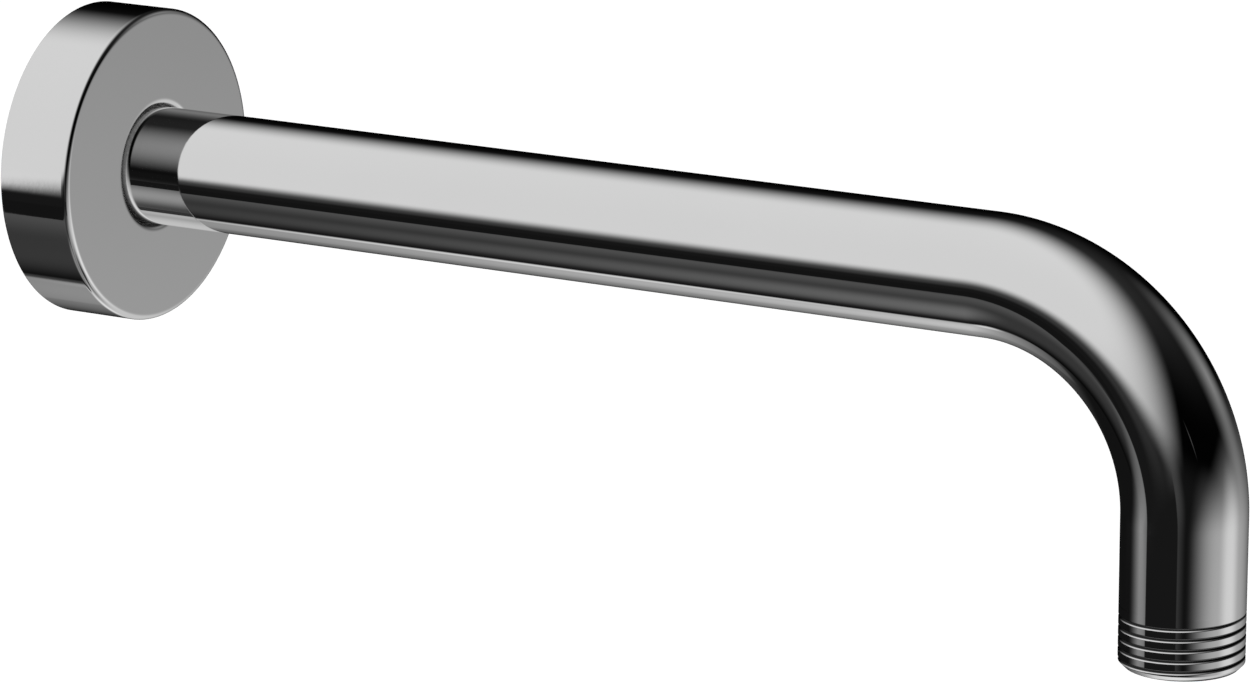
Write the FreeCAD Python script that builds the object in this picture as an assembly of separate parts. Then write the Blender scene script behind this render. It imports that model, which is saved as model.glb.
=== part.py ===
import FreeCAD, Part
import math
import os

# A wall-mounted shower arm: a chromed brass pipe that leaves the wall along +X, turns down through
# one bend and ends in a male thread, with a round hollow flange over its inlet.
# The origin is the point where the inlet's axis meets the finished wall. +X points out of the wall,
# +Z points up, and the arm is symmetric about the plane Y = 0.

# Pipe
pipe_diameter = 21.0
bore_diameter = 16.0
arm_reach = 217.5          # finished wall to the outlet's axis
outlet_drop = 61.5         # inlet axis down to the outlet's end face
bend_radius = 36.0         # radius of the bend's centre line

# Threads, G 1/2 at both ends, made as plain blanks of their major diameter. It lies inside the
# thread's tolerance, 20.671 to 20.955, so the lands stand just inside the pipe's surface.
thread_diameter = 20.68
inlet_behind_wall = 12.0   # how far the inlet reaches into the wall
inlet_thread_length = 15.0
outlet_thread_length = 10.5
thread_chamfer = 1.0
bore_chamfer = 0.5

# Flange, a turned brass cup that opens to the wall
flange_diameter = 56.0
flange_depth = 14.3
flange_skirt = 3.0         # thickness of its outer wall
flange_face = 2.6          # thickness of its front wall
flange_edge_round = 1.0    # outer edge of the front face
flange_lip_round = 1.2     # edge of the bore in the front face
flange_inner_round = 1.5   # corners inside the cup
flange_clearance = 0.25    # between the flange's bore and the pipe, all round

# Hub inside the flange, with the gland of the O-ring
hub_wall = 1.8             # brass left outside the gland
hub_back = 7.2             # from the finished wall to the hub's back end
hub_round = 0.5
gland_width = 3.0
gland_behind_face = 4.1    # from the front face to the gland's middle

# O-ring: it runs on the pipe and rests in the gland
ring_cord = 2.4
ring_running_clearance = 0.05
ring_seat_clearance = 0.05

# Soft seal between the rim and the wall, in a rebate that is open to the inside
seal_thickness = 1.2
seal_land = 1.0            # width of the brass land left outside the seal
seal_clearance = 0.05

pipe_radius = pipe_diameter / 2
bore_radius = bore_diameter / 2
thread_radius = thread_diameter / 2
straight_end = arm_reach - bend_radius
flange_radius = flange_diameter / 2
skirt_inner_radius = flange_radius - flange_skirt
flange_bore_radius = pipe_radius + flange_clearance
ring_inner_radius = pipe_radius + ring_running_clearance
gland_radius = ring_inner_radius + ring_cord + ring_seat_clearance
gland_middle = flange_depth - gland_behind_face
rebate_radius = flange_radius - seal_land

out_of_wall = FreeCAD.Vector(1, 0, 0)
across = FreeCAD.Vector(0, 1, 0)
inlet = FreeCAD.Vector(0, 0, 0)


def rounded_wire(corners):
    """Closed wire in the plane Y = 0 through (x, z, radius) corners, each rounded to its radius."""
    points = [FreeCAD.Vector(x, 0, z) for x, z, radius in corners]
    edges = []
    stretches = []
    for i, corner in enumerate(points):
        radius = corners[i][2]
        if radius == 0:
            stretches.append((corner, corner))
            continue
        back = (points[i - 1] - corner).normalize()
        ahead = (points[(i + 1) % len(points)] - corner).normalize()
        half_angle = back.getAngle(ahead) / 2
        setback = radius / math.tan(half_angle)
        inward = (back + ahead).normalize()
        middle = corner + inward * (radius / math.sin(half_angle) - radius)
        start = corner + back * setback
        end = corner + ahead * setback
        edges.append(Part.Arc(start, middle, end).toShape())
        stretches.append((start, end))
    for i, (start, end) in enumerate(stretches):
        next_start = stretches[(i + 1) % len(stretches)][0]
        edges.append(Part.LineSegment(end, next_start).toShape())
    return Part.Wire(Part.__sortEdges__(edges))


def turned(corners):
    """Solid turned about the X axis from a profile of (x, radius, corner rounding) points."""
    return Part.Face(rounded_wire(corners)).revolve(inlet, out_of_wall, 360)


def threaded_end(length, thread_length):
    """Straight tube along +X whose end face, at the origin, leads into a thread blank."""
    return turned([
        (0, bore_radius + bore_chamfer, 0),
        (0, thread_radius - thread_chamfer, 0),
        (thread_chamfer, thread_radius, 0),
        (thread_length, thread_radius, 0),
        (thread_length, pipe_radius, 0),
        (length, pipe_radius, 0),
        (length, bore_radius, 0),
        (bore_chamfer, bore_radius, 0),
    ])


def pipe_bend():
    """Quarter turn of tube from the end of the straight run down to the start of the drop."""
    start = FreeCAD.Vector(straight_end, 0, 0)
    outside = Part.Wire(Part.makeCircle(pipe_radius, start, out_of_wall))
    inside = Part.Wire(Part.makeCircle(bore_radius, start, out_of_wall))
    section = Part.Face(outside).cut(Part.Face(inside))
    pivot = FreeCAD.Vector(straight_end, 0, -bend_radius)
    return section.revolve(pivot, across, 90)


def arm_pipe():
    """The pipe in one piece: inlet end, bend and outlet end."""
    inlet_run = threaded_end(inlet_behind_wall + straight_end, inlet_thread_length)
    inlet_run.translate(FreeCAD.Vector(-inlet_behind_wall, 0, 0))
    outlet_run = threaded_end(outlet_drop - bend_radius, outlet_thread_length)
    outlet_run.rotate(inlet, across, -90)
    outlet_run.translate(FreeCAD.Vector(arm_reach, 0, -outlet_drop))
    return inlet_run.fuse([pipe_bend(), outlet_run]).removeSplitter()


def wall_flange():
    """Round cup with a rounded front edge, a rounded bore lip, a hub with its gland and a seal rebate."""
    hub_radius = gland_radius + hub_wall
    inside_face = flange_depth - flange_face
    gland_front = gland_middle + gland_width / 2
    gland_back = gland_middle - gland_width / 2
    return turned([
        (0, flange_radius, 0),
        (flange_depth, flange_radius, flange_edge_round),
        (flange_depth, flange_bore_radius, flange_lip_round),
        (gland_front, flange_bore_radius, 0),
        (gland_front, gland_radius, 0),
        (gland_back, gland_radius, 0),
        (gland_back, flange_bore_radius, 0),
        (hub_back, flange_bore_radius, hub_round),
        (hub_back, hub_radius, hub_round),
        (inside_face, hub_radius, flange_inner_round),
        (inside_face, skirt_inner_radius, flange_inner_round),
        (seal_thickness, skirt_inner_radius, 0),
        (seal_thickness, rebate_radius, 0),
        (0, rebate_radius, 0),
    ])


def flange_o_ring():
    """Rubber ring in the gland, which grips the pipe."""
    middle = FreeCAD.Vector(gland_middle, 0, 0)
    return Part.makeTorus(ring_inner_radius + ring_cord / 2, ring_cord / 2, middle, out_of_wall)


def flange_wall_seal():
    """Flat soft ring in the rebate of the rim, flush with the wall."""
    return turned([
        (0, skirt_inner_radius, 0),
        (0, rebate_radius - seal_clearance, 0),
        (seal_thickness, rebate_radius - seal_clearance, 0),
        (seal_thickness, skirt_inner_radius, 0),
    ])


pieces = {
    "arm_pipe": arm_pipe(),
    "wall_flange": wall_flange(),
    "flange_o_ring": flange_o_ring(),
    "flange_wall_seal": flange_wall_seal(),
}

os.makedirs("parts", exist_ok=True)
for name, shape in pieces.items():
    shape.exportStep("parts/" + name + ".step")
    print(name, "solids", len(shape.Solids), "valid", shape.isValid(), "volume mm3", round(shape.Volume, 1))
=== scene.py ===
# %% [markdown]
# # A chromed shower arm
# A shower arm is a short length of brass pipe that comes out of the bathroom wall, turns down
# through one bend and ends in a thread for the shower head. A round flange slides along it and
# hides the hole in the wall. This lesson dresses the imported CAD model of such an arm: it makes
# the threads that the plain solids lack, and the finishes that show what each piece is made of.
#
# Chrome has hardly any colour of its own. What we see in it is the room, so the room is built
# first, and then the pieces.

# %% Load the frame
import math
from functools import partial

import bmesh
import bpy
from mathutils import Matrix, Vector


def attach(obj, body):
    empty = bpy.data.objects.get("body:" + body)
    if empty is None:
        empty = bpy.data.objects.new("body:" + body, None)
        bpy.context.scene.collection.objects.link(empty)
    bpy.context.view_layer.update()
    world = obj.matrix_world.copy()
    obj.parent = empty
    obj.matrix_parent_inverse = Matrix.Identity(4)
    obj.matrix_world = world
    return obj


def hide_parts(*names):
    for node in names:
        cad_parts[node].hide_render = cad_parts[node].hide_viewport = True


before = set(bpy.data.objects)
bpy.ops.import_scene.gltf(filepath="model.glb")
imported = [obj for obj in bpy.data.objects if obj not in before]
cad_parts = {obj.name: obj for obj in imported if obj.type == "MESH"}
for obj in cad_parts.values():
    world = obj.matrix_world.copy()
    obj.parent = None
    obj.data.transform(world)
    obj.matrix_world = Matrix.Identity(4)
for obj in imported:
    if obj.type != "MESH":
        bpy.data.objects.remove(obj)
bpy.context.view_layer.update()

print("CAD nodes:", ", ".join(sorted(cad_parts)))

# %% [markdown]
# ## Sizes
# Every size is in millimetres, as on a drawing, and `MM` turns it into Blender's metres. They are
# the sizes of the CAD model, so that each new piece fits where its solid was.

# %% Sizes of the pipe and its threads
MM = 0.001
pipe_radius = 10.5
bore_radius = 8.0
straight_end = 181.5       # where the straight run becomes the bend
bend_radius = 36.0         # of the pipe's centre line
drop_length = 25.5         # from the bend to the outlet's end face
inlet_end = -12.0          # the inlet reaches this far behind the finished wall
bend_end = straight_end + bend_radius * math.pi / 2
outlet_end = bend_end + drop_length

thread_pitch = 1.814       # of a G 1/2 thread
inlet_thread_length = 15.0
outlet_thread_length = 10.5
thread_chamfer = 1.0
bore_chamfer = 0.5
print("length along the pipe's centre line:", round(outlet_end - inlet_end, 1), "mm")

# %% [markdown]
# ## Small helpers for node trees
# Node trees are easier to read in a script when one line adds one node. `wire` adds a node, sets
# its options, and fills its inputs: a plain value goes into the socket, and another node's output
# is linked to it.

# %% A helper that adds one node
def wire(tree, kind, inputs=(), **options):
    """Adds one node, sets its options, and fills or links its inputs."""
    node = tree.nodes.new(kind)
    for option, value in options.items():
        setattr(node, option, value)
    for key, value in dict(inputs).items():
        if isinstance(value, bpy.types.NodeSocket):
            tree.links.new(value, node.inputs[key])
        else:
            node.inputs[key].default_value = value
    return node


def calculate(tree, operation, *values):
    """One Math node: its inputs are numbers or other nodes' outputs."""
    return wire(tree, "ShaderNodeMath", enumerate(values), operation=operation).outputs[0]


mix_sockets = {"FLOAT": (2, 3, 0), "RGBA": (6, 7, 2)}     # first input, second input, output


def blend(tree, factor, first, second):
    """One Mix node, for two numbers or two colours."""
    kind = "RGBA" if isinstance(first, (tuple, bpy.types.NodeSocketColor)) else "FLOAT"
    first_input, second_input, output = mix_sockets[kind]
    inputs = {0: factor, first_input: first, second_input: second}
    return wire(tree, "ShaderNodeMix", inputs, data_type=kind).outputs[output]


# %% [markdown]
# ## The camera
# The picture was taken from the right and slightly above, with a long lens from a metre away.
# The camera is set by the direction it stands in, by its place and by its lens. Directions are
# given as on a map: azimuth 0 is +X, out of the wall, and 270 is -Y, towards the viewer. A camera
# looks along its own -Z, so its three axes make up its matrix.

# %% Camera
def towards(azimuth, elevation):
    """The direction that has this azimuth and elevation, in degrees."""
    a = math.radians(azimuth)
    e = math.radians(elevation)
    return Vector((math.cos(a) * math.cos(e), math.sin(a) * math.cos(e), math.sin(e)))


view_azimuth = 300.827
view_elevation = 13.963
view_roll = math.radians(-0.063)
camera_place = Vector((619.192, -851.258, 226.303)) * MM
focal_length_px = 5959.365
picture_width_px = 1250

camera_data = bpy.data.cameras.new("camera")
camera_data.sensor_width = 36.0
camera_data.lens = focal_length_px / picture_width_px * camera_data.sensor_width
backwards = towards(view_azimuth, view_elevation)
level_right = (-backwards).cross(Vector((0, 0, 1))).normalized()
level_up = level_right.cross(-backwards)
right = math.cos(view_roll) * level_right + math.sin(view_roll) * level_up
up = math.cos(view_roll) * level_up - math.sin(view_roll) * level_right
camera = bpy.data.objects.new("camera", camera_data)
camera_axes = Matrix((right, up, backwards)).transposed().to_4x4()
camera.matrix_world = Matrix.Translation(camera_place) @ camera_axes
bpy.context.scene.collection.objects.link(camera)
bpy.context.scene.camera = camera
print("lens:", round(camera_data.lens, 2), "mm")

# %% [markdown]
# ## The light
# A photographer lights chrome with large soft cards and leaves dark gaps between them: the cards
# give the bright bands along the pipe, and the gaps give the black lines that show its shape.
# Real panels would do. Here the cards are painted on the sky instead, because the world's shader
# is free of noise in a mirror and stays the same size wherever the camera goes.
#
# Each card has a direction and a brightness on the 0 to 255 scale of the finished picture. A round
# card has a radius and a softness in degrees. A square one stands one metre away: it has a turn in
# degrees, half its width and half its height in metres, and how far its sides and its ends are
# blurred. A "cover" hides what is behind it, and a "glow" adds its light to it. The order counts,
# because each card lies over the ones before it.

# %% The cards
chrome_reflectance = 0.94


def brightness(level):
    """The light that a chrome mirror shows as this level, from 0 to 255."""
    shade = level / 255
    linear = ((shade + 0.055) / 1.055) ** 2.4 if shade > 0.04045 else shade / 12.92
    return linear / chrome_reflectance


unlit_room = 0.0006        # the little that the chrome shows between the cards
cards = [
    # name, kind, azimuth, elevation, (radius, softness) or (turn, width, height, sides, ends), level
    ("big soft box over the left shoulder", "cover", 227, 40, (62, 19.5), 207),
    ("dark ground", "cover", 322, -84, (85, 7), 18),
    ("bright floor on the right", "glow", 35, -63, (53.5, 23), 193),
    ("near edge of that floor", "glow", 27, -20, (15, 11), 129),
    ("lamp glow behind", "glow", 58, 17, (10, 22), 138),
    ("floor in shade", "cover", 231, -47, (36, 1.2), 7),
    ("skirting behind", "glow", 157.5, -50.5, (13, 1.3), 57),
    ("white panel on the left", "cover", 214.4, 3.15, (-13, 0.404, 0.258, 0.023, 0.029), 207),
    ("foot of that panel", "cover", 209.5, -14.7, (-12.5, 0.21, 0.053, 0.33, 0.145), 165),
    ("grey floor on the left", "glow", 246.5, -44, (37.5, 8.7), 51),
    ("pale floor below", "glow", 249, -65.5, (18.4, 9.4), 120),
    ("grey floor on the right", "glow", 343, -38, (23, 21), 126),
    ("shade under the arm", "cover", 339, -59.5, (21, 22), 28),
    ("dim strip in front", "glow", 283, -8, (9.5, 8), 55),
    ("near edge of the grey floor", "glow", 235.5, -24, (12.6, 9.4), 57),
    ("black flag in front", "cover", 254.5, -19, (6.3, 0.536, 0.132, 0.02, 0.066), 22),
    ("lower edge of that flag", "cover", 242, -23.4, (9.2, 0.23, 0.0685, 0.0087, 0.0034), 19),
    ("faint ceiling glow", "glow", 81, 80, (30, 47), 50),
    ("bright corner below", "glow", 169, -58, (2.8, 1.8), 142),
    ("mat below", "glow", 131, -68, (14, 6.5), 118),
    ("thin strip light on the right", "glow", 326.7, 11.5, (27, 0.006, 0.05, 0.012, 0.08), 90),
    ("step before the grey floor", "cover", 307.5, -21.7, (0, 0.1, 0.076, 0.02, 0.004), 22),
    ("lit edge of the bright floor", "glow", 6, -55.5, (4.5, 6), 139),
    ("shaded edge beside it", "cover", 355.5, -55.5, (0, 0.068, 0.12, 0.004, 0.05), 50),
]

# %% [markdown]
# The world's shader turns the list into nodes. For a round card it compares the angle between the
# view's direction and the card's with the radius. For a square card it finds where the direction
# meets the card's plane, one metre away, from three dot products.

# %% Paint the cards on the sky
world = bpy.data.worlds.new("studio")
bpy.context.scene.world = world
world.use_nodes = True
sky = world.node_tree
sky.nodes.clear()
direction = wire(sky, "ShaderNodeTexCoord").outputs["Generated"]


def share_along(axis):
    """How much of the view's direction lies along an axis."""
    node = wire(sky, "ShaderNodeVectorMath", {0: direction, 1: tuple(axis)}, operation="DOT_PRODUCT")
    return node.outputs["Value"]


def soft_step(value, outer, inner):
    """0 at the outer value, 1 at the inner one, and smooth between them."""
    return wire(sky, "ShaderNodeMapRange", {
        "Value": value, "From Min": outer, "From Max": inner,
    }, interpolation_type="SMOOTHSTEP").outputs["Result"]


def round_card(facing, radius, softness):
    """1 on the card and 0 off it, with a blurred rim."""
    angle = calculate(sky, "ARCCOSINE", share_along(facing))
    return soft_step(angle, math.radians(radius + softness), math.radians(radius - softness))


def square_card(facing, turn, width, height, side_blur, end_blur):
    """The same for a square card, which stands square to its direction."""
    across = Vector((0, 0, 1)).cross(facing).normalized()
    upright = facing.cross(across)
    turned = Matrix.Rotation(math.radians(turn), 3, facing)
    distance = calculate(sky, "MAXIMUM", share_along(facing), 0.001)
    sideways = calculate(sky, "DIVIDE", share_along(turned @ across), distance)
    upwards = calculate(sky, "DIVIDE", share_along(turned @ upright), distance)
    within_sides = soft_step(calculate(sky, "ABSOLUTE", sideways), width + side_blur, width - side_blur)
    within_ends = soft_step(calculate(sky, "ABSOLUTE", upwards), height + end_blur, height - end_blur)
    return calculate(sky, "MULTIPLY", within_sides, within_ends)


light = unlit_room
for name, kind, azimuth, elevation, shape, level in cards:
    facing = towards(azimuth, elevation)
    card = round_card(facing, *shape) if len(shape) == 2 else square_card(facing, *shape)
    card.node.label = name
    if kind == "cover":
        light = blend(sky, card, light, brightness(level))
    else:
        light = calculate(sky, "MULTIPLY_ADD", card, brightness(level), light)
print("cards on the sky:", len(cards))

# %% [markdown]
# The picture's background is plain white. A white sky would wash the chrome out, so the camera
# sees a white sky and everything else sees the cards. `Light Path` tells the two apart. The white
# is set a little above 1, so that it comes out as full white.

# %% White for the camera, cards for the rest
white = (1, 1, 1, 1)
seen_in_chrome = wire(sky, "ShaderNodeBackground", {"Color": white, "Strength": light})
seen_behind = wire(sky, "ShaderNodeBackground", {"Color": white, "Strength": 1.05})
chosen = wire(sky, "ShaderNodeMixShader", {
    0: wire(sky, "ShaderNodeLightPath").outputs["Is Camera Ray"],
    1: seen_in_chrome.outputs[0],
    2: seen_behind.outputs[0],
})
wire(sky, "ShaderNodeOutputWorld", {"Surface": chosen.outputs[0]})
bpy.context.scene.view_settings.view_transform = "Standard"
print("nodes in the sky:", len(sky.nodes))

# %% [markdown]
# ## The floor
# A shower arm hangs about two metres above the floor, so that is where the floor goes: far enough
# below to be plain background from any side. It glows a little, as paper under a strong lamp
# does, and the chrome doesn't see it, because the cards already give the chrome its floor.

# %% Floor
floor_below = 2100.0
floor_half_width = 15000.0
floor_mesh = bpy.data.meshes.new("floor")
floor_corners = []
for x, y in [(-1, -1), (1, -1), (1, 1), (-1, 1)]:
    floor_corners.append(Vector((x * floor_half_width, y * floor_half_width, -floor_below)) * MM)
floor_mesh.from_pydata(floor_corners, [], [(0, 1, 2, 3)])
floor = bpy.data.objects.new("floor", floor_mesh)
bpy.context.scene.collection.objects.link(floor)
floor.visible_glossy = False

paper = bpy.data.materials.new("floor_paper")
paper.use_nodes = True
paper_nodes = paper.node_tree
paper_nodes.nodes.clear()
surface = wire(paper_nodes, "ShaderNodeBsdfPrincipled", {
    "Base Color": (0.9, 0.9, 0.9, 1),
    "Roughness": 0.8,
    "Emission Color": white,
    "Emission Strength": 0.75,
})
wire(paper_nodes, "ShaderNodeOutputMaterial", {"Surface": surface.outputs[0]})
floor_mesh.materials.append(paper)
print("the floor lies", floor_below / 1000, "m below the arm")

# %% [markdown]
# ## Outlines
# Every piece of this arm is round about a line: the flange and its two rubber rings about the
# pipe's axis, and the pipe about its own bent centre line. So each is drawn as half a section,
# as a turner would: points of how far along the line and how far from it.
#
# A mirror shows every mistake in a mesh's normals. Two rules keep it clean. No edge is perfectly
# sharp, as none is on plated brass, so `rounded` turns every corner into a small arc. And
# `held` adds a row of points close to each end of a long straight stretch, which stops the
# smooth shading of the corner from spreading over the stretch.

# %% Round the corners of an outline
arc_share = 0.45           # an arc takes at most this much of the side before or after it


def rounded(corners, steps):
    """Closed outline through (along, out, radius) corners, each an arc of that many steps."""
    outline = []
    for i, (along, out, radius) in enumerate(corners):
        corner = Vector((along, out))
        before = Vector(corners[i - 1][:2])
        after = Vector(corners[(i + 1) % len(corners)][:2])
        back = (before - corner).normalized()
        ahead = (after - corner).normalized()
        half = back.angle(ahead) / 2
        shorter_side = min((before - corner).length, (after - corner).length)
        setback = min(radius / math.tan(half), arc_share * shorter_side)
        radius = setback * math.tan(half)
        middle = corner + (back + ahead).normalized() * (radius / math.sin(half))
        first = corner + back * setback - middle
        last = corner + ahead * setback - middle
        turn = first.angle_signed(last)
        for k in range(steps + 1):
            spoke = first.copy()
            spoke.rotate(Matrix.Rotation(-turn * k / steps, 2))
            outline.append(middle + spoke)
    return outline


def held(outline, margin):
    """The outline with a point near each end of its long straight stretches."""
    points = []
    for i, start in enumerate(outline):
        end = outline[(i + 1) % len(outline)]
        run = end - start
        points.append(start)
        if run.length > 4 * margin:
            points.append(start + run.normalized() * margin)
            points.append(end - run.normalized() * margin)
    return points


# %% [markdown]
# The pipe needs more rows of points where it bends and where it is threaded. `with_rows` adds
# them to the stretches that run along the pipe.

# %% Add rows along the pipe
least_gap = 0.02           # a row closer than this to a point of the outline is left out


def with_rows(outline, start, end, count, least_radius):
    """Adds evenly spaced points between two places along the pipe, outside a radius."""
    stations = [start + (end - start) * k / count for k in range(count + 1)]
    points = []
    for i, here in enumerate(outline):
        there = outline[(i + 1) % len(outline)]
        points.append(here)
        runs_along = abs(there.y - here.y) < 0.001
        if not runs_along or here.y <= least_radius:
            continue
        low, high = sorted((here.x, there.x))
        inside = [s for s in stations if low < s - least_gap and s + least_gap < high]
        for s in sorted(inside, reverse=there.x < here.x):
            points.append(Vector((s, here.y)))
    return points


# %% [markdown]
# ## From an outline to a piece
# Geometry Nodes wrap an outline into a piece. The tree reads the outline as a closed wire, sweeps
# a ring along it with Curve to Mesh, which gives a closed grid of faces, and then moves each point
# of the grid to its real place: so far along the centre line, so far out, and so far round. A
# turned part is the same thing with a bend of no angle, so one tree makes every piece.
#
# The numbers travel with the points as named attributes: "along" and "out" come from the outline,
# and "turns", from 0 to 1, from the ring.

# %% What the tree is given, and its attributes
wrap_inputs = {
    "Outline": "Geometry", "Segments": "Int", "Straight end": "Float", "Bend radius": "Float",
    "Bend angle": "Float", "Pitch": "Float", "Crest radius": "Float", "Groove depth": "Float",
    "Groove width": "Float", "Flank slope": "Float", "Crest rounding": "Float",
    "Root rounding": "Float", "Thread start": "Float", "Finish": "Material",
}
print("inputs of the wrap tree:", len(wrap_inputs))


def remember(tree, geometry, name, value):
    """Stores a number on every point of the geometry."""
    return wire(tree, "GeometryNodeStoreNamedAttribute", {
        "Geometry": geometry, "Name": name, "Value": value,
    }, data_type="FLOAT", domain="POINT").outputs["Geometry"]


def recall(tree, name):
    """Reads a stored number."""
    node = wire(tree, "GeometryNodeInputNamedAttribute", {"Name": name}, data_type="FLOAT")
    return node.outputs["Attribute"]


# %% [markdown]
# The thread is made in the same tree. Walking once round the pipe moves a groove along by one
# pitch, so `along / pitch + turns` is constant in the groove, and its fraction says how far a point
# is from the middle of it. Inside the groove's edge the surface goes down along a straight flank,
# rounded at the crest by a smooth maximum and at the root by a smooth minimum. Each outline point
# carries an attribute "cut" that says how deep the thread is there, from 0 to 1. Where it ends, the
# whole groove is lifted out of the pipe, as a die does when it stops, so it gets narrow as well.
#
# The root gets painted shade: its colour is darkened where the groove's walls would shade it. On the flank
# that faces up the painted shade starts only lower down.

# %% Cut the thread
full_lift = 1.2            # lifting by 1.2 times its depth takes the groove out of the pipe
# Painted shade in the groove: where it starts and how fast it grows.
painted_shade_from = 0.06           # the dark starts this part of a pitch outside the groove's edge
shade_setback_on_upper_flank = 0.095        # and this much further in on the flank that faces up
painted_shade_ramp = 30.0           # it is full after a thirtieth of a pitch


def cut_thread(tree, given, along, turns):
    """How far out a point is once the thread is cut, and how much painted shade it gets, from 0 to 1 or
    more.
    """
    do = partial(calculate, tree)
    out = recall(tree, "out")
    cut = recall(tree, "cut")
    in_thread = do("GREATER_THAN", cut, 0.0)
    phase = do("ADD", do("DIVIDE", along, given["Pitch"]), turns)
    past_middle = do("SUBTRACT", do("FRACT", do("SUBTRACT", phase, given["Thread start"])), 0.5)
    off_middle = do("MULTIPLY", do("ABSOLUTE", past_middle), given["Pitch"])
    inside_edge = do("MULTIPLY_ADD", given["Groove width"], 0.5, do("MULTIPLY", off_middle, -1.0))

    groove = do("MULTIPLY", inside_edge, given["Flank slope"])
    groove = do("SMOOTH_MIN", groove, given["Groove depth"], given["Root rounding"])
    most_lift = do("MULTIPLY", given["Groove depth"], full_lift)
    lifted = do("MULTIPLY", do("SUBTRACT", cut, 1.0), most_lift)
    groove = do("SMOOTH_MAX", do("ADD", groove, lifted), 0.0, given["Crest rounding"])
    above = do("SUBTRACT", out, do("SUBTRACT", given["Crest radius"], groove))
    out = do("SUBTRACT", out, do("MULTIPLY", do("MAXIMUM", above, 0.0), in_thread))

    # Painted shade: how far into the groove a point is sets how much its colour is darkened.
    inside_lifted = do("ADD", inside_edge, do("DIVIDE", lifted, given["Flank slope"]))
    faces_up = do("GREATER_THAN", past_middle, 0.0)
    dark = do("MULTIPLY_ADD", faces_up, -shade_setback_on_upper_flank, painted_shade_from)
    dark = do("ADD", do("DIVIDE", inside_lifted, given["Pitch"]), dark)
    return out, do("MULTIPLY", do("MULTIPLY", dark, painted_shade_ramp), in_thread)


# %% [markdown]
# The centre line is straight, turns through one bend and is straight again. A point's place is
# one short sum: the way along the first straight, the way round the bend's pivot, and the way
# down the last straight. The pivot lies one bend radius below the line.

# %% Follow the bent centre line
def place_round_line(tree, given, along, out, turns):
    """The place of a point so far along the line, so far out from it and so far round it."""
    do = partial(calculate, tree)
    before = do("MINIMUM", along, given["Straight end"])
    past = do("SUBTRACT", along, given["Straight end"])
    bend = do("DIVIDE", do("MAXIMUM", past, 0.0), given["Bend radius"])
    bend = do("MINIMUM", bend, given["Bend angle"])
    bend_length = do("MULTIPLY", given["Bend radius"], given["Bend angle"])
    after = do("MAXIMUM", do("SUBTRACT", past, bend_length), 0.0)
    sine = do("SINE", bend)
    cosine = do("COSINE", bend)
    angle = do("MULTIPLY", turns, math.tau)
    from_pivot = do("MULTIPLY_ADD", out, do("COSINE", angle), given["Bend radius"])
    straights = do("MULTIPLY_ADD", after, cosine, before)
    drop = do("MULTIPLY_ADD", after, sine, given["Bend radius"])
    return wire(tree, "ShaderNodeCombineXYZ", {
        "X": do("ADD", straights, do("MULTIPLY", from_pivot, sine)),
        "Y": do("MULTIPLY", out, do("SINE", angle)),
        "Z": do("SUBTRACT", do("MULTIPLY", from_pivot, cosine), drop),
    }).outputs[0]


# %% The tree that wraps an outline round the line
def build_wrap_tree():
    tree = bpy.data.node_groups.new("wrap_outline", "GeometryNodeTree")
    for name, kind in wrap_inputs.items():
        tree.interface.new_socket(name=name, in_out="INPUT", socket_type="NodeSocket" + kind)
    tree.interface.new_socket(name="Piece", in_out="OUTPUT", socket_type="NodeSocketGeometry")
    given = tree.nodes.new("NodeGroupInput").outputs

    place = wire(tree, "GeometryNodeInputPosition").outputs[0]
    place = wire(tree, "ShaderNodeSeparateXYZ", {0: place}).outputs
    outline = wire(tree, "GeometryNodeMeshToCurve", {"Mesh": given["Outline"]}).outputs["Curve"]
    outline = remember(tree, outline, "along", place["X"])
    outline = remember(tree, outline, "out", place["Y"])
    ring = wire(tree, "GeometryNodeCurvePrimitiveCircle", {"Resolution": given["Segments"]})
    ring = ring.outputs["Curve"]
    index = wire(tree, "GeometryNodeInputIndex").outputs[0]
    ring = remember(tree, ring, "turns", calculate(tree, "DIVIDE", index, given["Segments"]))
    grid = wire(tree, "GeometryNodeCurveToMesh", {"Curve": outline, "Profile Curve": ring}).outputs["Mesh"]

    along = recall(tree, "along")
    turns = recall(tree, "turns")
    out, dark = cut_thread(tree, given, along, turns)
    position = place_round_line(tree, given, along, out, turns)
    # The "root" attribute carries the painted shade of the thread's groove.
    grid = remember(tree, grid, "root", dark)
    grid = wire(tree, "GeometryNodeSetPosition", {"Geometry": grid, "Position": position}).outputs[0]
    grid = wire(tree, "GeometryNodeSetShadeSmooth", {"Geometry": grid, "Shade Smooth": True}).outputs[0]
    grid = wire(tree, "GeometryNodeRealizeInstances", {"Geometry": grid}).outputs[0]
    grid = wire(tree, "GeometryNodeSetMaterial", {"Geometry": grid, "Material": given["Finish"]}).outputs[0]
    wire(tree, "NodeGroupOutput", {"Piece": grid})
    return tree


wrap_tree = build_wrap_tree()
print("nodes in the wrap tree:", len(wrap_tree.nodes))

# %% [markdown]
# ## Make a piece
# The outline becomes a wire of points and edges. Two attributes go with it: "cut", the depth of
# the thread, and "bare", which is 1 where the chrome doesn't reach.

# %% An outline as a wire
def outline_wire(name, outline, cut, bare):
    """A mesh of points and edges, with "cut" and "bare" worked out by their rules."""
    points = [(along * MM, out * MM, 0) for along, out in outline]
    edges = [(i, (i + 1) % len(points)) for i in range(len(points))]
    mesh = bpy.data.meshes.new(name + "_outline")
    mesh.from_pydata(points, edges, [])
    for attribute, rule in (("cut", cut), ("bare", bare)):
        values = [rule(along, out) if rule else 0.0 for along, out in outline]
        mesh.attributes.new(attribute, "FLOAT", "POINT").data.foreach_set("value", values)
    return mesh


# %% [markdown]
# An outline may be drawn either way round, and one of the two ways gives faces that look inwards.
# The volume of a closed mesh tells which: it comes out negative, and then the faces are turned.

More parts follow.
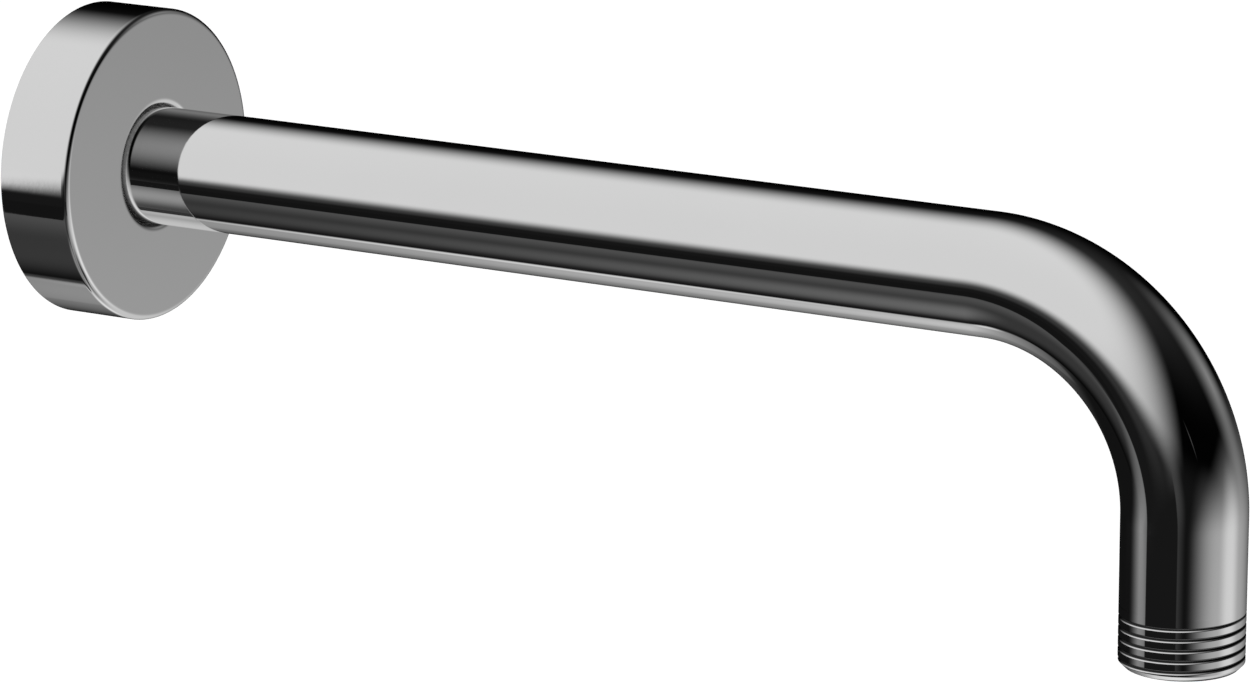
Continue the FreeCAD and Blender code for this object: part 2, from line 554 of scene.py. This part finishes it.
# %% Turn the faces outwards
def face_outwards(mesh):
    """Turns inward faces round, and returns the closed mesh's volume in cubic millimetres."""
    shell = bmesh.new()
    shell.from_mesh(mesh)
    if shell.calc_volume(signed=True) < 0:
        bmesh.ops.reverse_faces(shell, faces=shell.faces[:])
        shell.to_mesh(mesh)
    volume = shell.calc_volume(signed=True) / MM ** 3
    shell.free()
    return volume


# %% [markdown]
# The tree wraps the wire, and `new_from_object` keeps the result as a plain mesh. The modifier's
# inputs are set by their identifiers, before the object is first evaluated. A turned part needs
# no bend and no thread, so those are the settings that a piece starts from.

# %% Wrap an outline into a finished mesh
turned_part = {
    "Segments": 128, "Straight end": 1.0, "Bend radius": 1.0, "Bend angle": 0.0, "Pitch": 1.0,
    "Crest radius": 1.0, "Groove depth": 1.0, "Groove width": 0.0, "Flank slope": 1.0,
    "Crest rounding": 0.0, "Root rounding": 0.0, "Thread start": 0.0,
}


def wrapped(name, outline, finish, cut=None, bare=None, **settings):
    """A piece from an outline of (along, out) points in millimetres."""
    piece = bpy.data.objects.new(name, outline_wire(name, outline, cut, bare))
    bpy.context.scene.collection.objects.link(piece)
    modifier = piece.modifiers.new("wrap", "NODES")
    modifier.node_group = wrap_tree
    chosen = {**turned_part, **settings, "Finish": finish}
    for socket in wrap_tree.interface.items_tree:
        if socket.in_out == "INPUT" and socket.name in chosen:
            modifier[socket.identifier] = chosen[socket.name]
    depsgraph = bpy.context.evaluated_depsgraph_get()
    evaluated = piece.evaluated_get(depsgraph)
    mesh = bpy.data.meshes.new_from_object(evaluated, preserve_all_data_layers=True, depsgraph=depsgraph)
    volume = face_outwards(mesh)
    piece.modifiers.clear()
    piece.data = mesh
    mesh.name = name
    triangles = sum(len(face.vertices) - 2 for face in mesh.polygons)
    print(name, "has", triangles, "triangles round", round(volume), "cubic millimetres")
    return piece


# %% [markdown]
# ## Chrome
# The plating on tap ware is bright chrome over nickel over polished brass. It is a mirror with
# the faintest grey, and what makes it real up close is how the mirror varies: a little less sharp
# in patches where water and cloths have been, and rougher in the bottom of a thread, where the
# plating bath hardly reaches. The thread's root also gets painted shade: its colour goes near black
# where the groove's walls would shade it. Where the "bare" attribute is 1, the chrome is missing:
# inside the pipe there is no plating at all and the brass shows, and the flange's narrow bore has
# got its nickel but hardly any chrome, so it is a dull grey.

# %% Chrome over brass
def noise(tree, coordinates, scale, detail):
    """Soft random values from 0 to 1, in spots of about a metre divided by the scale."""
    inputs = {"Vector": coordinates, "Scale": scale, "Detail": detail}
    return wire(tree, "ShaderNodeTexNoise", inputs).outputs[0]


def chrome_finish(name, bare_dark, bare_pale):
    """Chrome, with two shades for the metal that shows where the chrome is missing."""
    finish = bpy.data.materials.new(name)
    finish.use_nodes = True
    tree = finish.node_tree
    tree.nodes.clear()
    coordinates = wire(tree, "ShaderNodeTexCoord").outputs["Object"]
    clouds = noise(tree, coordinates, 60.0, 4.0)
    grain = noise(tree, coordinates, 900.0, 3.0)
    # The "root" attribute is the painted shade that the wrap tree works out for the thread's groove.
    root = wire(tree, "ShaderNodeAttribute", attribute_name="root").outputs["Fac"]
    bare = wire(tree, "ShaderNodeAttribute", attribute_name="bare").outputs["Fac"]

    plating = blend(tree, clouds, (0.93, 0.93, 0.93, 1), (0.95, 0.95, 0.95, 1))
    root_shade_and_dullness = wire(tree, "ShaderNodeMapRange", {
        "Value": root, "From Min": 0.0, "From Max": 1.0,
    }, interpolation_type="SMOOTHSTEP").outputs["Result"]
    # Painted shade: the thread's root is darkened to near black, standing in for the shade of the groove's
    # walls.
    plating = blend(tree, root_shade_and_dullness, plating, (0.03, 0.03, 0.03, 1))
    colour = blend(tree, bare, plating, blend(tree, grain, bare_dark, bare_pale))
    polished = calculate(tree, "MULTIPLY_ADD", clouds, 0.02, 0.01)
    polished = calculate(tree, "MULTIPLY_ADD", root_shade_and_dullness, 0.25, polished)
    unpolished = calculate(tree, "MULTIPLY_ADD", grain, 0.3, 0.25)
    relief = wire(tree, "ShaderNodeBump", {
        "Strength": calculate(tree, "MULTIPLY_ADD", bare, 0.4, 0.01),
        "Distance": 0.1 * MM,
        "Height": grain,
    }).outputs[0]
    surface = wire(tree, "ShaderNodeBsdfPrincipled", {
        "Base Color": colour,
        "Metallic": 1.0,
        "Roughness": blend(tree, bare, polished, unpolished),
        "Normal": relief,
    })
    wire(tree, "ShaderNodeOutputMaterial", {"Surface": surface.outputs[0]})
    return finish


pipe_chrome = chrome_finish("pipe_chrome", (0.5, 0.36, 0.17, 1), (0.68, 0.52, 0.27, 1))
flange_chrome = chrome_finish("flange_chrome", (0.35, 0.35, 0.35, 1), (0.5, 0.5, 0.5, 1))
print("nodes in each chrome:", len(pipe_chrome.node_tree.nodes))

# %% [markdown]
# ## The pipe and its two threads
# The pipe is one piece, so its outline is one closed loop: out along the outside of the pipe, and
# back along its bore. The rows of points are close only where the pipe bends and where a thread is
# cut, which keeps the mesh small enough to print.
#
# The groove is narrower than the land between two grooves, as on a thread rolled into a thin
# wall. A cut thread would have a sharp V and hardly any land. Both flanks stand at 27.5 degrees,
# which makes the 55 degrees of a pipe thread, and the thread is right-handed, as on every tap. The
# crest is nearly as wide as the pipe and runs on into it, so no step shows where the thread starts.

# %% Sizes of the thread
inlet_thread_end = inlet_end + inlet_thread_length
outlet_thread_start = outlet_end - outlet_thread_length
flank_angle = math.radians(27.5)
crest_radius = 20.955 / 2
crest_run = 14.0           # over this length past the thread, its crest widens into the pipe
outside_from = bore_radius + 1.0
print("crest of a G 1/2 thread:", 2 * crest_radius, "mm, on a pipe of", 2 * pipe_radius, "mm")


def thread_cut(along, out):
    """How deep the thread is cut at a place along the pipe, from 0 to 1."""
    from_inlet = (inlet_thread_end - along) / thread_pitch
    from_outlet = (along - outlet_thread_start) / thread_pitch
    return min(1.0, max(0.0, from_inlet, from_outlet)) if out > outside_from else 0.0


def bare_brass(along, out):
    """1 in the pipe's bore, which the plating doesn't reach."""
    return 1.0 if out < bore_radius + 0.2 else 0.0


# %% [markdown]
# The corners go once round the section: the inlet's end, the outside from thread to thread, the
# outlet's end, and back through the bore.

# %% The pipe
pipe_corners = [
    # along, out, rounding
    (inlet_end + bore_chamfer, bore_radius, 0.1),
    (inlet_end, bore_radius + bore_chamfer, 0.1),
    (inlet_end, crest_radius - thread_chamfer, 0.12),
    (inlet_end + thread_chamfer, crest_radius, 0.12),
    (inlet_thread_end, crest_radius, 1.0),
    (inlet_thread_end + crest_run, pipe_radius, 1.0),
    (outlet_thread_start - crest_run, pipe_radius, 1.0),
    (outlet_thread_start, crest_radius, 1.0),
    (outlet_end - thread_chamfer, crest_radius, 0.12),
    (outlet_end, crest_radius - thread_chamfer, 0.12),
    (outlet_end, bore_radius + bore_chamfer, 0.1),
    (outlet_end - bore_chamfer, bore_radius, 0.1),
]
pipe_outline = held(rounded(pipe_corners, steps=4), margin=0.25)
pipe_outline = with_rows(pipe_outline, straight_end, bend_end, 56, least_radius=0)
pipe_outline = with_rows(pipe_outline, inlet_end, inlet_thread_end, 250, outside_from)
pipe_outline = with_rows(pipe_outline, outlet_thread_start, outlet_end, 230, outside_from)
print("points in the pipe's outline:", len(pipe_outline))
pipe_settings = {
    "Segments": 156,
    "Straight end": straight_end * MM,
    "Bend radius": bend_radius * MM,
    "Bend angle": math.pi / 2,
    "Pitch": thread_pitch * MM,
    "Crest radius": crest_radius * MM,
    "Groove depth": 0.45 * MM,
    "Groove width": 0.62 * MM,
    "Flank slope": 1 / math.tan(flank_angle),
    "Crest rounding": 0.09 * MM,
    "Root rounding": 0.15 * MM,
    "Thread start": 0.67,
}
arm = wrapped("shower_arm", pipe_outline, pipe_chrome, cut=thread_cut, bare=bare_brass, **pipe_settings)
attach(arm, "arm")
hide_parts("arm_pipe")

# %% [markdown]
# In the picture the flange's face is even and grey: the pipe isn't seen in it. So the pipe is
# kept out of all reflections, and the surroundings show there instead.

# %% Keep the pipe out of the reflections
arm.visible_glossy = False
print("is the pipe seen in mirrors?", arm.visible_glossy)

# %% [markdown]
# ## The flange
# The flange is a turned cup, open towards the wall. Only its side, its face and the small lip
# round the pipe show on a wall, but the part is also looked at from behind, so the hub with the
# gland of the rubber ring and the rebate of the seal are there too. Its bore and its gland are the
# dull grey of the last section, from the middle of the lip inwards.

# %% The flange
flange_corners = [
    (0.0, 28.0, 0.15),       # rim against the wall
    (14.3, 28.0, 1.0),       # edge of the face
    (14.3, 10.75, 1.2),      # lip round the pipe
    (11.7, 10.75, 0.1),      # gland of the rubber ring
    (11.7, 13.0, 0.15),
    (8.7, 13.0, 0.15),
    (8.7, 10.75, 0.1),
    (7.2, 10.75, 0.5),       # back of the hub
    (7.2, 14.8, 0.5),
    (11.7, 14.8, 1.5),       # inside of the cup
    (11.7, 25.0, 1.5),
    (1.2, 25.0, 0.1),        # rebate of the seal
    (1.2, 27.0, 0.1),
    (0.0, 27.0, 0.1),
]
flange_outline = held(rounded(flange_corners, steps=8), margin=0.2)


def dull_bore(along, out):
    """1 in the flange's bore and gland, and 0 on the rest of it."""
    in_gland = 8.6 < along < 11.8 and out < 13.1      # just past the gland's own corners
    in_bore = along > 7.6 and out < 11.2              # from the hub's back to half the lip
    return 1.0 if in_gland or in_bore else 0.0


flange = wrapped("wall_flange_cover", flange_outline, flange_chrome, bare=dull_bore, Segments=256)
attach(flange, "flange")
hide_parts("wall_flange")

# %% [markdown]
# ## Rubber
# Two rubber rings finish the flange. The small round one grips the pipe, so that the flange stays
# where it is pushed, and the flat one seals the rim against the wall. Moulded rubber is black and
# smooth with a faint bloom, and the flat seal is punched from cellular sheet, full of fine pores.

# %% Rubber finishes
def rubber_finish(name, dark, pale, roughness, pore_scale, pore_depth):
    """Rubber with a cloudy bloom between two shades, and pores of a depth in millimetres."""
    finish = bpy.data.materials.new(name)
    finish.use_nodes = True
    tree = finish.node_tree
    tree.nodes.clear()
    coordinates = wire(tree, "ShaderNodeTexCoord").outputs["Object"]
    bloom = noise(tree, coordinates, 250.0, 5.0)
    pores = wire(tree, "ShaderNodeTexVoronoi", {"Vector": coordinates, "Scale": pore_scale})
    relief = wire(tree, "ShaderNodeBump", {
        "Strength": 0.5, "Distance": pore_depth * MM, "Height": pores.outputs["Distance"],
    }).outputs[0]
    surface = wire(tree, "ShaderNodeBsdfPrincipled", {
        "Base Color": blend(tree, bloom, dark, pale),
        "Roughness": calculate(tree, "MULTIPLY_ADD", bloom, 0.2, roughness),
        "Normal": relief,
    })
    wire(tree, "ShaderNodeOutputMaterial", {"Surface": surface.outputs[0]})
    return finish


moulded_rubber = rubber_finish(
    "moulded_rubber", (0.012, 0.012, 0.012, 1), (0.03, 0.03, 0.03, 1),
    roughness=0.35, pore_scale=4000.0, pore_depth=0.01,
)
cellular_rubber = rubber_finish(
    "cellular_rubber", (0.05, 0.05, 0.05, 1), (0.1, 0.1, 0.1, 1),
    roughness=0.6, pore_scale=2600.0, pore_depth=0.06,
)
print("nodes in each rubber:", len(moulded_rubber.node_tree.nodes))

# %% [markdown]
# Both rings are drawn as they are before they are squeezed, a little clear of what they touch.

# %% The ring that grips the pipe
ring_along = 10.2
ring_out = 11.75
ring_cord_radius = 1.2
ring_points = 32
ring_outline = []
for k in range(ring_points):
    angle = math.tau * k / ring_points
    along = ring_along + ring_cord_radius * math.cos(angle)
    out = ring_out + ring_cord_radius * math.sin(angle)
    ring_outline.append((along, out))
ring = wrapped("flange_ring", ring_outline, moulded_rubber, Segments=160)
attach(ring, "flange")
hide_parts("flange_o_ring")

# %% The seal against the wall
seal_corners = [(0.0, 25.0, 0.1), (0.0, 26.95, 0.1), (1.2, 26.95, 0.1), (1.2, 25.0, 0.1)]
seal_outline = held(rounded(seal_corners, steps=4), margin=0.2)
seal = wrapped("wall_seal", seal_outline, cellular_rubber, Segments=200)
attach(seal, "flange")
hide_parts("flange_wall_seal")
